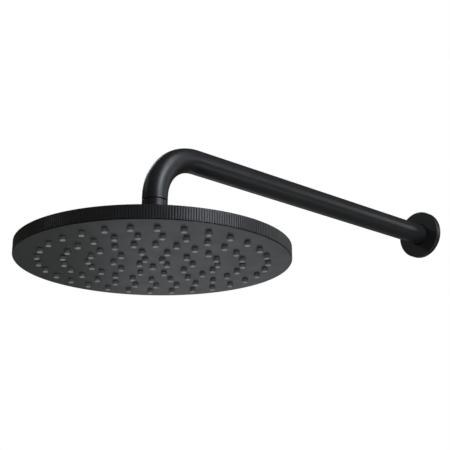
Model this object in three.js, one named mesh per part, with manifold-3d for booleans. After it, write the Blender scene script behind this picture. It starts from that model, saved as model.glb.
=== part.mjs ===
// A wall-mounted rain shower: a bent arm with a cover flange at the wall, a ball joint under the
// elbow, and a round flat head with ninety soft nozzles.
// Millimetres, +Z up. The origin is where the arm's axis meets the wall. The wall is the plane y = 0,
// the arm reaches out along -Y, and the head hangs level below its end. Heights of pieces below the
// arm's bend are counted up from the head's face.

import * as THREE from "three";
import { mergeVertices } from "three/addons/utils/BufferGeometryUtils.js";
import Module from "manifold-3d";

const wasm = await Module();
wasm.setup();

// ---- Driving dimensions ----

const GAP = 0.3; // left between pieces that touch or fit in one another

const ARM_REACH = 404; // wall to the head's axis
const ARM_HEIGHT = 109.5; // head's face up to the arm's axis
const ARM_RADIUS = 12;
const ARM_WALL = 1.5;
const BEND_RADIUS = 47.5; // at the tube's centre
const BEND_STEPS = 10;
const JOINT_LINE = 58.4; // height of the groove between the tube and the collar under it
const JOINT_LINE_WIDTH = 0.8;

const THREAD_RADIUS = 10.4; // half-inch pipe thread, as a plain cylinder
const THREAD_CHAMFER = 0.8;
const WATERWAY_RADIUS = 7;
const INLET_THREAD = 15; // length that goes into the wall
const INLET_PLUG = 22; // length inside the tube
const SHOULDER = 2; // of the inlet, between the tube and the wall
const NIPPLE_END = 47; // height of the outlet thread's lower end

const FLANGE_RADIUS = 27.5;
const FLANGE_DEPTH = 7;
const FLANGE_SKIN = 1.8;
const FLANGE_RIM = 2.5; // width of the rim that meets the wall
const FLANGE_HUB = 16.5;
const GROOVE = { front: -5, back: -2.6, radius: 14.2 }; // for the O-ring, inside the flange's hub

const BALL_RADIUS = 11;
const BALL_HEIGHT = 24;
const STEM_BORE = 3.5;
const NECK_RADIUS = 5.5;
const NECK_TOP = 37;
const CONE_TOP = 41;
const COLLAR_FLAT = { low: 39, high: 44.2, offset: 10.8 }; // one of two flats for a spanner
const CUP_FLOOR = 44.3; // the washer's seat in the collar
const LIMITER_FLOOR = 39.3;
const LIMITER_RADIUS = 6.2;
const SEAT_THICKNESS = 1.5;
const UPPER_SEAT = { low: 1.5, high: 6.5 }; // heights from the ball's centre
const LOWER_SEAT = { low: -8, high: -1.5 };
const SOCKET_RADIUS = BALL_RADIUS + SEAT_THICKNESS + 2 * GAP;
const SOCKET_LIP = 0.9; // the socket's top edge above the ball's centre
const NUT_RADIUS = 19;
const NUT_TOP = 10; // above the ball's centre
const NUT_OPENING = 10;
const NUT_SHOULDER = { width: 5, height: 6 };

const HEAD_RADIUS = 125;
const HEAD_THICKNESS = 12.3;
const SHELL_WALL = 2.1;
const SHELL_EDGE = 0.5;
const SKIRT_WALL = 2.4;
const SKIRT_LOW = 1.6; // the skirt stops above the face plate's edge, which leaves a shadow line
const FACE_RADIUS = 124.4;
const FACE_THICKNESS = 1.8;
const FACE_EDGE = 1; // thickness of the plate where it runs out under the skirt
const LOCATOR = { low: 0.5, high: 4.5, wall: 1.5 };
const MAT_RADIUS = 108.8;
const MAT_THICKNESS = 1.2;
const PLATE = { radius: 117, low: 6.6, high: 7.9 };
const PLATE_RIM = { inner: 107, outer: 108.6 }; // presses the mat's edge down

const HUB_RADIUS = 16; // outside of the socket's threaded barrel
const HUB_FLANGE = { radius: 24, low: 4.3, high: 5.5 };
const OUTLET_RADIUS = 8.4;
const SHELL_WASHER_TOP = 13.2;
const LOCK_RING = { radius: 23, top: 16 };

const NOZZLE_RINGS = [
  { count: 5, turn: 0 },
  { count: 10, turn: 18 },
  { count: 20, turn: 0 },
  { count: 25, turn: 10.8 },
  { count: 30, turn: 0 },
]; // turn is the first nozzle's angle from +X, in degrees
const FIRST_RING = 13;
const RING_PITCH = 22.6;
const NOZZLE_LENGTH = 3; // below the face
const NOZZLE_BASE = 2.85;
const NOZZLE_TIP = 2.5;

const OUTER_SCREWS = { count: 8, radius: 112.5, turn: 6 };
const INNER_SCREWS = { count: 4, radius: FIRST_RING + 1.5 * RING_PITCH, turn: 45 };
const BOSS_RADIUS = 3;
const PILOT_RADIUS = 1.5;
const SCREW = { shank: 1.2, head: 2.8, crown: 1.8, headHeight: 0.9 };

const DISC_SIDES = 72; // facets round the head's shell and face
const PLATE_SIDES = 48;
const FLANGE_SIDES = 40;
const HUB_SIDES = 32;
const TUBE_SIDES = 24;
const SMALL_SIDES = 8; // nozzles, screws and their holes

// ---- Materials ----

const finish = (color, roughness, metalness) =>
  new THREE.MeshStandardMaterial({ color, roughness, metalness });
const MATT_BLACK = finish(0x1c1c1e, 0.45, 0.2);
const BRASS = finish(0xb08d4c, 0.35, 1);
const BLACK_RUBBER = finish(0x161616, 0.8, 0);
const GREY_SILICONE = finish(0x3a3b3c, 0.6, 0);
const WHITE_PLASTIC = finish(0xd8d8d2, 0.5, 0);
const BLACK_PLASTIC = finish(0x242424, 0.55, 0);
const STEEL = finish(0xa8a9ab, 0.3, 1);

// ---- Helpers ----

const group = new THREE.Group();
const head = new THREE.Group(); // its own z = 0 is the head's face
head.position.set(0, -ARM_REACH, -ARM_HEIGHT);
group.add(head);

const point = (radius, height) => new THREE.Vector2(radius, height);
const degreesOf = THREE.MathUtils.radToDeg;

// The points of an arc in a profile, about (radius, height), from one angle to another in degrees.
function arc(radius, height, size, from, to, steps) {
  return Array.from({ length: steps + 1 }, (_, i) => {
    const angle = THREE.MathUtils.degToRad(from + ((to - from) * i) / steps);
    return point(radius + size * Math.cos(angle), height + size * Math.sin(angle));
  });
}

// A solid turned about +Z. The profile runs up its outside and down its inside.
function turned(profile, sides, closed = true) {
  const points = closed ? [...profile, profile[0]] : profile;
  return new THREE.LatheGeometry(points, sides).rotateX(Math.PI / 2);
}

// A plain ring with square edges.
function ring(inner, outer, low, high, sides) {
  return turned([point(inner, low), point(outer, low), point(outer, high), point(inner, high)], sides);
}

function disc(radius, low, high, sides) {
  return turned([point(0, low), point(radius, low), point(radius, high), point(0, high)], sides, false);
}

// A regular polygon's corners, for an outline or a hole.
function polygon(x, y, radius, sides) {
  return Array.from({ length: sides }, (_, i) => {
    const angle = (2 * Math.PI * i) / sides;
    return point(x + radius * Math.cos(angle), y + radius * Math.sin(angle));
  });
}

// A flat sheet between two heights, with holes given as lists of corners.
function sheet(outline, holes, low, high) {
  const shape = new THREE.Shape(outline);
  shape.holes = holes.map((corners) => new THREE.Path(corners));
  return new THREE.ExtrudeGeometry(shape, { depth: high - low, bevelEnabled: false }).translate(0, 0, low);
}

function solid(geometry) {
  const bare = geometry.clone();
  bare.deleteAttribute("normal");
  bare.deleteAttribute("uv");
  const merged = mergeVertices(bare, 1e-4);
  const vertProperties = merged.attributes.position.array;
  const triVerts = new Uint32Array(merged.index.array);
  return new wasm.Manifold(new wasm.Mesh({ numProp: 3, vertProperties, triVerts }));
}

function geometryOf(manifold) {
  const mesh = manifold.getMesh();
  const geometry = new THREE.BufferGeometry();
  geometry.setAttribute("position", new THREE.BufferAttribute(mesh.vertProperties, 3));
  geometry.setIndex(new THREE.BufferAttribute(mesh.triVerts, 1));
  geometry.computeVertexNormals();
  return geometry;
}

const join = (base, extras) =>
  geometryOf(extras.reduce((whole, extra) => whole.add(solid(extra)), solid(base)));
const cut = (base, tools) =>
  geometryOf(tools.reduce((whole, tool) => whole.subtract(solid(tool)), solid(base)));

function addMesh(parent, name, geometry, material) {
  const mesh = new THREE.Mesh(geometry, material);
  mesh.name = name;
  parent.add(mesh);
  return mesh;
}

// Places spaced round a circle, from the angle turn in degrees.
function around({ count, radius, turn }) {
  return Array.from({ length: count }, (_, i) => {
    const angle = THREE.MathUtils.degToRad(turn + (360 * i) / count);
    return [radius * Math.cos(angle), radius * Math.sin(angle)];
  });
}

// ---- Arm ----

const STRAIGHT = ARM_REACH - BEND_RADIUS;
const DROP_START = ARM_HEIGHT - BEND_RADIUS; // height where the bend ends
const TUBE_END = JOINT_LINE + JOINT_LINE_WIDTH / 2;
const COLLAR_TOP = JOINT_LINE - JOINT_LINE_WIDTH / 2;
const PLUG_RADIUS = ARM_RADIUS - ARM_WALL - GAP; // of the threaded ends, inside the tube

// The tube's centre line. Its steps are one straight run, the bend, and one short drop.
class ArmPath extends THREE.Curve {
  steps = BEND_STEPS + 2;

  place(u) {
    const step = u * this.steps;
    const along = THREE.MathUtils.lerp(SHOULDER, STRAIGHT, Math.min(step, 1));
    const turn = (THREE.MathUtils.clamp(step - 1, 0, BEND_STEPS) / BEND_STEPS) * (Math.PI / 2);
    const drop = Math.max(step - 1 - BEND_STEPS, 0) * (DROP_START - TUBE_END);
    return { along, turn, drop };
  }

  getPointAt(u, target = new THREE.Vector3()) {
    const { along, turn, drop } = this.place(u);
    return target.set(0, -along - BEND_RADIUS * Math.sin(turn), BEND_RADIUS * (Math.cos(turn) - 1) - drop);
  }

  getTangentAt(u, target = new THREE.Vector3()) {
    const { turn } = this.place(u);
    return target.set(0, -Math.cos(turn), -Math.sin(turn));
  }
}

function armTube() {
  const path = new ArmPath();
  const section = new THREE.Shape(polygon(0, 0, ARM_RADIUS, TUBE_SIDES));
  section.holes = [new THREE.Path(polygon(0, 0, ARM_RADIUS - ARM_WALL, TUBE_SIDES))];
  return new THREE.ExtrudeGeometry(section, { steps: path.steps, extrudePath: path });
}

// The threaded end that is brazed into the tube at the wall. Its shoulder stops at the wall.
function inletNipple() {
  const shoulderFront = GAP - SHOULDER;
  const profile = [
    point(WATERWAY_RADIUS, -INLET_PLUG),
    point(PLUG_RADIUS, -INLET_PLUG),
    point(PLUG_RADIUS, shoulderFront),
    point(ARM_RADIUS, shoulderFront),
    point(ARM_RADIUS, 0),
    point(THREAD_RADIUS, 0),
    point(THREAD_RADIUS, INLET_THREAD - THREAD_CHAMFER),
    point(THREAD_RADIUS - THREAD_CHAMFER, INLET_THREAD),
    point(WATERWAY_RADIUS, INLET_THREAD),
  ];
  return turned(profile, TUBE_SIDES).rotateX(-Math.PI / 2);
}

// The threaded end under the elbow. A relief groove at its root shows as the dark joint line.
function outletNipple() {
  const reliefRadius = THREAD_RADIUS - 1;
  const tip = DROP_START + 2;
  const profile = [
    point(WATERWAY_RADIUS, NIPPLE_END),
    point(THREAD_RADIUS - THREAD_CHAMFER, NIPPLE_END),
    point(THREAD_RADIUS, NIPPLE_END + THREAD_CHAMFER),
    point(THREAD_RADIUS, COLLAR_TOP - 1),
    point(reliefRadius, COLLAR_TOP),
    point(reliefRadius, TUBE_END),
    point(PLUG_RADIUS, TUBE_END),
    point(PLUG_RADIUS, DROP_START),
    point(PLUG_RADIUS - GAP, tip),
    point(WATERWAY_RADIUS, tip),
  ];
  return turned(profile, TUBE_SIDES);
}

// ---- Wall flange ----

// A hollow cover with a hub that runs on the tube and holds the O-ring.
function wallFlange() {
  const bore = ARM_RADIUS + GAP;
  const front = -FLANGE_DEPTH;
  const edge = 1.2; // rounding of the front edge
  const hubBack = -1;
  const rimInside = FLANGE_RADIUS - FLANGE_RIM;
  const profile = [
    point(bore, front),
    ...arc(FLANGE_RADIUS - edge, front + edge, edge, -90, 0, 3),
    point(FLANGE_RADIUS, 0),
    point(rimInside, 0),
    point(rimInside, front + FLANGE_SKIN),
    point(FLANGE_HUB, front + FLANGE_SKIN),
    point(FLANGE_HUB, hubBack),
    point(bore, hubBack),
    point(bore, GROOVE.back),
    point(GROOVE.radius, GROOVE.back),
    point(GROOVE.radius, GROOVE.front),
    point(bore, GROOVE.front),
  ];
  return turned(profile, FLANGE_SIDES).rotateX(-Math.PI / 2);
}

function flangeORing() {
  const middle = (ARM_RADIUS + GROOVE.radius) / 2;
  const section = (GROOVE.radius - ARM_RADIUS) / 2 - GAP;
  const profile = arc(middle, (GROOVE.front + GROOVE.back) / 2, section, 0, 300, 5);
  return turned(profile, TUBE_SIDES).rotateX(-Math.PI / 2);
}

// ---- Ball joint ----

// The collar, neck and ball in one piece, with the waterway down its middle.
function ballStem() {
  const threadBore = THREAD_RADIUS + GAP;
  const limiterBore = LIMITER_RADIUS + GAP;
  const bottom = -degreesOf(Math.acos(STEM_BORE / BALL_RADIUS));
  const top = degreesOf(Math.acos(NECK_RADIUS / BALL_RADIUS));
  const profile = [
    ...arc(0, BALL_HEIGHT, BALL_RADIUS, bottom, top, 12),
    point(NECK_RADIUS, NECK_TOP),
    point(ARM_RADIUS, CONE_TOP),
    point(ARM_RADIUS, COLLAR_TOP),
    point(threadBore, COLLAR_TOP),
    point(threadBore, CUP_FLOOR),
    point(limiterBore, CUP_FLOOR),
    point(limiterBore, LIMITER_FLOOR),
    point(STEM_BORE, LIMITER_FLOOR),
  ];
  const { low, high, offset } = COLLAR_FLAT;
  const flats = [-1, 1].map((side) =>
    new THREE.BoxGeometry(ARM_RADIUS, 2 * ARM_RADIUS, high - low).translate(
      side * (offset + ARM_RADIUS / 2),
      0,
      (low + high) / 2,
    ),
  );
  return cut(turned(profile, TUBE_SIDES), flats);
}

// A ring between two spheres about the ball's centre.
function ballSeat({ low, high }) {
  const inner = BALL_RADIUS + GAP;
  const outer = inner + SEAT_THICKNESS;
  const rise = (radius, height) => degreesOf(Math.asin(height / radius));
  const profile = [
    ...arc(0, BALL_HEIGHT, outer, rise(outer, low), rise(outer, high), 4),
    ...arc(0, BALL_HEIGHT, inner, rise(inner, high), rise(inner, low), 4),
  ];
  return turned(profile, TUBE_SIDES);
}

// Screws onto the socket and holds the ball in it.
function retainingNut() {
  const bore = HUB_RADIUS + GAP;
  const low = LOCK_RING.top + GAP;
  const top = BALL_HEIGHT + NUT_TOP;
  const seatStart = degreesOf(Math.asin((SOCKET_LIP + GAP) / SOCKET_RADIUS));
  const seatEnd = degreesOf(Math.acos(NUT_OPENING / SOCKET_RADIUS));
  const profile = [
    point(bore, low),
    point(NUT_RADIUS, low),
    point(NUT_RADIUS, top - NUT_SHOULDER.height),
    point(NUT_RADIUS - NUT_SHOULDER.width, top),
    point(NUT_OPENING, top),
    ...arc(0, BALL_HEIGHT, SOCKET_RADIUS, seatEnd, seatStart, 4),
    point(bore, BALL_HEIGHT + SOCKET_LIP + GAP),
  ];
  return turned(profile, HUB_SIDES);
}

// The socket under the ball. Its flange clamps the inner plate and the shell from below.
function hubSocket() {
  const seatLow = -degreesOf(Math.acos(OUTLET_RADIUS / SOCKET_RADIUS));
  const seatHigh = degreesOf(Math.asin(SOCKET_LIP / SOCKET_RADIUS));
  const profile = [
    point(OUTLET_RADIUS, HUB_FLANGE.low),
    point(HUB_FLANGE.radius, HUB_FLANGE.low),
    point(HUB_FLANGE.radius, HUB_FLANGE.high),
    point(HUB_RADIUS, HUB_FLANGE.high),
    point(HUB_RADIUS, BALL_HEIGHT + SOCKET_LIP),
    ...arc(0, BALL_HEIGHT, SOCKET_RADIUS, seatHigh, seatLow, 5),
  ];
  return turned(profile, HUB_SIDES);
}

// ---- Head ----

const MAT_LOW = FACE_THICKNESS + GAP;
const MAT_HIGH = MAT_LOW + MAT_THICKNESS;
const SHELL_UNDER = HEAD_THICKNESS - SHELL_WALL;
const SKIRT_INSIDE = HEAD_RADIUS - SKIRT_WALL;

function backShell() {
  const bore = HUB_RADIUS + GAP;
  const profile = [
    point(SKIRT_INSIDE, SKIRT_LOW),
    point(HEAD_RADIUS, SKIRT_LOW),
    point(HEAD_RADIUS, HEAD_THICKNESS - SHELL_EDGE),
    point(HEAD_RADIUS - SHELL_EDGE, HEAD_THICKNESS),
    point(bore, HEAD_THICKNESS),
    point(bore, SHELL_UNDER),
    point(SKIRT_INSIDE, SHELL_UNDER),
  ];
  return turned(profile, DISC_SIDES);
}

const nozzlePlaces = NOZZLE_RINGS.flatMap(({ count, turn }, i) =>
  around({ count, turn, radius: FIRST_RING + i * RING_PITCH }),
);
const screwPlaces = { outer: around(OUTER_SCREWS), inner: around(INNER_SCREWS) };
const allScrewPlaces = [...screwPlaces.outer, ...screwPlaces.inner];

// The visible underside, with a hole for each nozzle, a ring that centres it in the shell's skirt
// and a boss for each screw.
function facePlate() {
  const radius = SKIRT_INSIDE - GAP;
  const holes = nozzlePlaces.map(([x, y]) => polygon(x, y, NOZZLE_BASE + 2 * GAP, SMALL_SIDES));
  const plate = sheet(polygon(0, 0, radius, DISC_SIDES), holes, 0, FACE_THICKNESS);
  const locatorInside = radius - LOCATOR.wall;
  const edge = ring(locatorInside, FACE_RADIUS, 0, FACE_EDGE, DISC_SIDES);
  const locator = ring(locatorInside, radius, LOCATOR.low, LOCATOR.high, DISC_SIDES);
  const bosses = allScrewPlaces.map(([x, y]) =>
    ring(PILOT_RADIUS, BOSS_RADIUS, LOCATOR.low, PLATE.low - GAP, SMALL_SIDES).translate(x, y, 0),
  );
  return join(plate, [edge, locator, ...bosses]);
}

// A soft sheet with a nozzle through each of the face plate's holes.
function nozzleMat() {
  const clear = screwPlaces.inner.map(([x, y]) => polygon(x, y, BOSS_RADIUS + 2 * GAP, SMALL_SIDES));
  const mat = sheet(polygon(0, 0, MAT_RADIUS, PLATE_SIDES), clear, MAT_LOW, MAT_HIGH);
  const length = NOZZLE_LENGTH + (MAT_LOW + MAT_HIGH) / 2;
  const nozzles = nozzlePlaces.map(([x, y]) =>
    new THREE.CylinderGeometry(NOZZLE_BASE, NOZZLE_TIP, length, SMALL_SIDES)
      .rotateX(Math.PI / 2)
      .rotateZ(Math.PI / SMALL_SIDES)
      .translate(x, y, length / 2 - NOZZLE_LENGTH),
  );
  return join(mat, nozzles);
}

// Closes the water chamber above the mat. Its rim presses the mat's edge onto the face plate, and
// the raised ring at its middle holds the shell up.
function innerPlate() {
  const bore = HUB_RADIUS + GAP;
  const spacer = { inner: bore + 1.2, outer: HUB_FLANGE.radius, high: SHELL_UNDER - GAP };
  const profile = [
    point(bore, PLATE.low),
    point(PLATE_RIM.inner, PLATE.low),
    point(PLATE_RIM.inner, MAT_HIGH + GAP),
    point(PLATE_RIM.outer, MAT_HIGH + GAP),
    point(PLATE_RIM.outer, PLATE.low),
    point(PLATE.radius, PLATE.low),
    point(PLATE.radius, PLATE.high),
    point(spacer.outer, PLATE.high),
    point(spacer.outer, spacer.high),
    point(spacer.inner, spacer.high),
    point(spacer.inner, PLATE.high),
    point(bore, PLATE.high),
  ];
  const holeRadius = PILOT_RADIUS + GAP;
  const holes = allScrewPlaces.map(([x, y]) =>
    disc(holeRadius, PLATE.low - 1, PLATE.high + 1, SMALL_SIDES).translate(x, y, 0),
  );
  return cut(turned(profile, PLATE_SIDES), holes);
}

function plateScrew() {
  const seat = PLATE.high + GAP;
  const tip = FACE_THICKNESS + 1;
  const profile = [
    point(0, tip),
    point(SCREW.shank, tip),
    point(SCREW.shank, seat),
    point(SCREW.head, seat),
    point(SCREW.head, seat + SCREW.headHeight),
    point(SCREW.crown, SHELL_UNDER - GAP),
    point(0, SHELL_UNDER - GAP),
  ];
  return turned(profile, SMALL_SIDES, false);
}

// Flat rings that seal or clamp round the socket's barrel.
const barrelRing = (outer, low, high) => ring(HUB_RADIUS + GAP, outer, low, high, HUB_SIDES);
const hubGasket = barrelRing(HUB_FLANGE.radius - 0.5, HUB_FLANGE.high + GAP, PLATE.low - GAP);
const shellWasher = barrelRing(LOCK_RING.radius - 0.5, HEAD_THICKNESS + GAP, SHELL_WASHER_TOP);
const lockRing = barrelRing(LOCK_RING.radius, SHELL_WASHER_TOP + GAP, LOCK_RING.top);

// What sits in the collar above the ball: washer, filter and flow limiter.
const washer = { inner: 6.8, outer: THREAD_RADIUS - GAP };
const connectorWasher = ring(washer.inner, washer.outer, CUP_FLOOR + GAP, NIPPLE_END - GAP, TUBE_SIDES);
const filterScreen = disc(washer.inner - GAP, CUP_FLOOR + 0.8, CUP_FLOOR + 1.4, TUBE_SIDES);
const flowLimiter = ring(2, LIMITER_RADIUS, LIMITER_FLOOR + GAP, CUP_FLOOR, TUBE_SIDES);

// ---- Assembly ----

addMesh(group, "arm_tube", armTube(), MATT_BLACK);
addMesh(group, "arm_inlet_nipple", inletNipple(), BRASS);
addMesh(group, "wall_flange", wallFlange(), MATT_BLACK);
addMesh(group, "flange_o_ring", flangeORing(), BLACK_RUBBER);

addMesh(head, "arm_outlet_nipple", outletNipple(), BRASS);
addMesh(head, "connector_washer", connectorWasher, BLACK_RUBBER);
addMesh(head, "filter_screen", filterScreen, STEEL);
addMesh(head, "flow_limiter", flowLimiter, WHITE_PLASTIC);
addMesh(head, "ball_stem", ballStem(), MATT_BLACK);
addMesh(head, "upper_ball_seat", ballSeat(UPPER_SEAT), WHITE_PLASTIC);
addMesh(head, "lower_ball_seat", ballSeat(LOWER_SEAT), BLACK_RUBBER);
addMesh(head, "ball_retaining_nut", retainingNut(), MATT_BLACK);
addMesh(head, "hub_socket", hubSocket(), BRASS);
addMesh(head, "hub_gasket", hubGasket, BLACK_RUBBER);
addMesh(head, "shell_washer", shellWasher, BLACK_RUBBER);
addMesh(head, "hub_lock_ring", lockRing, MATT_BLACK);
addMesh(head, "back_shell", backShell(), MATT_BLACK);
addMesh(head, "face_plate", facePlate(), MATT_BLACK);
addMesh(head, "nozzle_mat", nozzleMat(), GREY_SILICONE);
addMesh(head, "inner_plate", innerPlate(), BLACK_PLASTIC);
for (const [where, places] of Object.entries(screwPlaces)) {
  places.forEach(([x, y], i) => {
    addMesh(head, `${where}_plate_screw_${i + 1}`, plateScrew(), STEEL).position.set(x, y, 0);
  });
}

export default group;
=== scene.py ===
# %% [markdown]
# # A matt black rain shower
#
# The real object is a bent arm that screws into the wall, a cover flange, a ball joint under the
# elbow, and a thin round head with ninety rubber nozzles. The working model is fixed already: every
# piece has its place, its size and its joint. This script dresses that frame. Each plain solid is
# replaced by a finely made piece in the same place, or gets a better finish.

import math

import bmesh
import bpy
from mathutils import Matrix, Vector


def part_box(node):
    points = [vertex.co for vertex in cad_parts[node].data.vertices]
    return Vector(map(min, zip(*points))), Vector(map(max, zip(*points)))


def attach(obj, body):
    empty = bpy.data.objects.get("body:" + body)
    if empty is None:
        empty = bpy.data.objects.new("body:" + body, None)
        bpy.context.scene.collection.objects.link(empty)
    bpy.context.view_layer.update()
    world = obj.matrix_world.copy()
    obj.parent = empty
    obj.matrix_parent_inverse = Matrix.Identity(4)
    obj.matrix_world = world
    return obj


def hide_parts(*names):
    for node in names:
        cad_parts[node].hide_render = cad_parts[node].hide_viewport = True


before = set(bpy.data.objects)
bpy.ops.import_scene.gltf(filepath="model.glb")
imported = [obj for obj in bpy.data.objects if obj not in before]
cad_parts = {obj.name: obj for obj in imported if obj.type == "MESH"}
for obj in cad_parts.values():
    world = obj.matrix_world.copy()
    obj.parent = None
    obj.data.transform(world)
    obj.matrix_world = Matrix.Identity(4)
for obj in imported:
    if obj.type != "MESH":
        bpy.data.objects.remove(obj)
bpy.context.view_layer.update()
MM = 0.001

# %% [markdown]
# ## Sizes that the frame gives
#
# A piece that is made again has to fit the one it stands for, so the main sizes are read from the
# frame and are not typed in. Only what a box can't tell, such as the width of a groove, is a number.
# Heights in the head are counted up from its face, in millimetres, because that is how such a head is
# drawn. Two matrices then carry a piece from its own drawing to its place: one for what is turned
# about the head's axis, and one for what is turned about the arm's axis at the wall.

# %% Read the sizes
def spans(node):
    """A node's size along X, Y and Z, in millimetres."""
    low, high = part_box(node)
    return (high - low) / MM


tube_low, tube_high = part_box("arm_tube")
shell_low, shell_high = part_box("back_shell")
TUBE_R = spans("arm_tube").x / 2
HEAD_R = spans("back_shell").x / 2
HEAD_AXIS_Y = (shell_low.y + shell_high.y) / 2
FACE_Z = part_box("face_plate")[0].z
HEAD_THICKNESS = (shell_high.z - FACE_Z) / MM
ARM_REACH = -HEAD_AXIS_Y / MM
ARM_HEIGHT = -FACE_Z / MM


def above_face(z):
    """Turns a height in the frame into millimetres above the head's face."""
    return (z - FACE_Z) / MM


TUBE_END = above_face(tube_low.z)
HEAD_PLACE = Matrix.Translation((0, HEAD_AXIS_Y, FACE_Z)) @ Matrix.Scale(MM, 4)
WALL_PLACE = Matrix.Rotation(math.radians(-90), 4, "X") @ Matrix.Scale(MM, 4)
print(f"head {2 * HEAD_R:.0f} mm across and {HEAD_THICKNESS:.1f} thick, on an arm of {ARM_REACH:.0f} mm")

# %% [markdown]
# ## Node trees written as sums
#
# Materials and Geometry Nodes are both graphs, and a graph written link by link is hard to read.
# `Value` wraps one output socket and overloads the arithmetic, so `1 - mask * 0.4` adds the Math
# nodes that it names. Every other node comes from `Graph.add`, which takes the node's type, then its
# settings, then what goes into its sockets.

# %% A small language for graphs
class Value:
    """One output socket that can be added, multiplied and so on."""

    def __init__(self, graph, socket):
        self.graph = graph
        self.socket = socket

    def math(self, operation, *others):
        return self.graph.add("ShaderNodeMath", {"operation": operation}, dict(enumerate((self, *others))))[0]

    def __add__(self, other):
        return self.math("ADD", other)

    def __mul__(self, other):
        return self.math("MULTIPLY", other)

    def __sub__(self, other):
        return self.math("SUBTRACT", other)

    def __rsub__(self, other):
        return self.graph.add("ShaderNodeMath", {"operation": "SUBTRACT"}, {0: other, 1: self})[0]

    def __truediv__(self, other):
        return self.math("DIVIDE", other)

    __radd__ = __add__
    __rmul__ = __mul__


class Made:
    """A node that was just added. Its outputs are asked for by name or number."""

    def __init__(self, graph, node):
        self.graph = graph
        self.node = node

    def __getitem__(self, output):
        return Value(self.graph, self.node.outputs[output])


class Graph:
    """A node tree, and the one way to put a node in it."""

    def __init__(self, tree):
        self.tree = tree

    def add(self, kind, settings=None, sockets=None):
        node = self.tree.nodes.new(kind)
        for key, value in (settings or {}).items():
            setattr(node, key, value)
        for key, value in (sockets or {}).items():
            self.feed(node.inputs[key], value)
        return Made(self, node)

    def feed(self, socket, value):
        sources = value if isinstance(value, list) else [value]
        for source in sources:
            if isinstance(source, Value):
                self.tree.links.new(source.socket, socket)
            else:
                socket.default_value = source


# %% [markdown]
# ## Finishes
#
# A surface is read by how it breaks up light, so each finish gets three layers on Object coordinates:
# a broad drift of colour and roughness, a fine grain in the bump, and marks of how the piece was made.
# The black coating is the one that matters. It is sprayed and baked, so it has a faint pebble at about
# half a millimetre, and its gloss drifts a little. A value that doesn't vary, such as how metallic a
# finish is, is set on the shader's own socket.

# %% A finish from named parts
COATING = (0.017, 0.017, 0.018)


def finish(name, colour, roughness, metallic=0.0, drift=0.1, grain=0.5, bump=0.03, marks=None, coat=None):
    """A procedural material. grain is the size of the surface's pebble in millimetres.

    marks adds to the relief. coat is where black coating lies over the material, from 0 to 1."""
    material = bpy.data.materials.new(name)
    material.use_nodes = True
    graph = Graph(material.node_tree)
    material.node_tree.nodes.clear()
    where = graph.add("ShaderNodeTexCoord")["Object"]
    broad = graph.add("ShaderNodeTexNoise", sockets={"Vector": where, "Scale": 45.0, "Detail": 3.0})["Fac"]
    fine = graph.add("ShaderNodeTexNoise", sockets={
        "Vector": where, "Scale": 1 / (grain * MM), "Detail": 2.0})["Fac"]
    height = fine if marks is None else fine + marks(graph, where)
    dark = (*(channel * (1 - drift) for channel in colour), 1)
    light = (*(min(channel * (1 + drift), 1) for channel in colour), 1)
    tint = graph.add("ShaderNodeMix", {"data_type": "RGBA"}, {0: broad, 6: dark, 7: light})[2]
    bare = metallic
    if coat is not None:
        covered = coat(graph, where)
        tint = graph.add("ShaderNodeMix", {"data_type": "RGBA"}, {0: covered, 6: tint, 7: (*COATING, 1)})[2]
        bare = metallic * (1 - covered)
    relief = graph.add("ShaderNodeBump", sockets={"Strength": 1.0, "Distance": bump * MM, "Height": height})
    shader = graph.add("ShaderNodeBsdfPrincipled", sockets={
        "Base Color": tint,
        "Roughness": roughness + (broad - 0.5) * 0.12 + (fine - 0.5) * 0.08,
        "Metallic": bare,
        "Normal": relief["Normal"],
    })
    graph.add("ShaderNodeOutputMaterial", sockets={"Surface": shader["BSDF"]})
    return material


def turning_marks(graph, where):
    """Fine curved lines, like those that a lathe tool leaves."""
    return graph.add("ShaderNodeTexWave", {"wave_type": "RINGS", "rings_direction": "SPHERICAL"},
                     {"Vector": where, "Scale": 500.0, "Distortion": 0.4, "Detail": 1.0})["Fac"] * 0.6


# %% The finishes
BLACK = finish("matt_black_coating", COATING, 0.36, drift=0.12, grain=0.55, bump=0.018)
BRASS_TONE = (0.62, 0.45, 0.2)
BRASS = finish("machined_brass", BRASS_TONE, 0.3, metallic=1.0, grain=0.3, bump=0.01, marks=turning_marks)
RUBBER = finish("seal_rubber", (0.02, 0.02, 0.02), 0.72, drift=0.2, grain=0.25, bump=0.02)
ACETAL = finish("white_acetal", (0.75, 0.75, 0.72), 0.45, drift=0.03, grain=0.8, bump=0.006)
PLASTIC = finish("black_moulded_plastic", (0.025, 0.025, 0.026), 0.55, grain=0.35, bump=0.02)
STEEL = finish("stainless_steel", (0.55, 0.55, 0.56), 0.32, metallic=1.0, drift=0.05, grain=0.2, bump=0.008)
print(len(bpy.data.materials), "materials so far")

# %% [markdown]
# The nozzles are dark grey silicone. Their ends are painted a lighter grey. This is a painted highlight
# that stands in for the light that falls on the tips from below, so each one shows as a pale oval on the
# face. The tone follows the distance from the tips, so it is worked out from the Z of the Object
# coordinates.

# %% Silicone with a painted highlight on its tips
NOZZLE_DROP = (FACE_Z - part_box("nozzle_mat")[0].z) / MM


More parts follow.
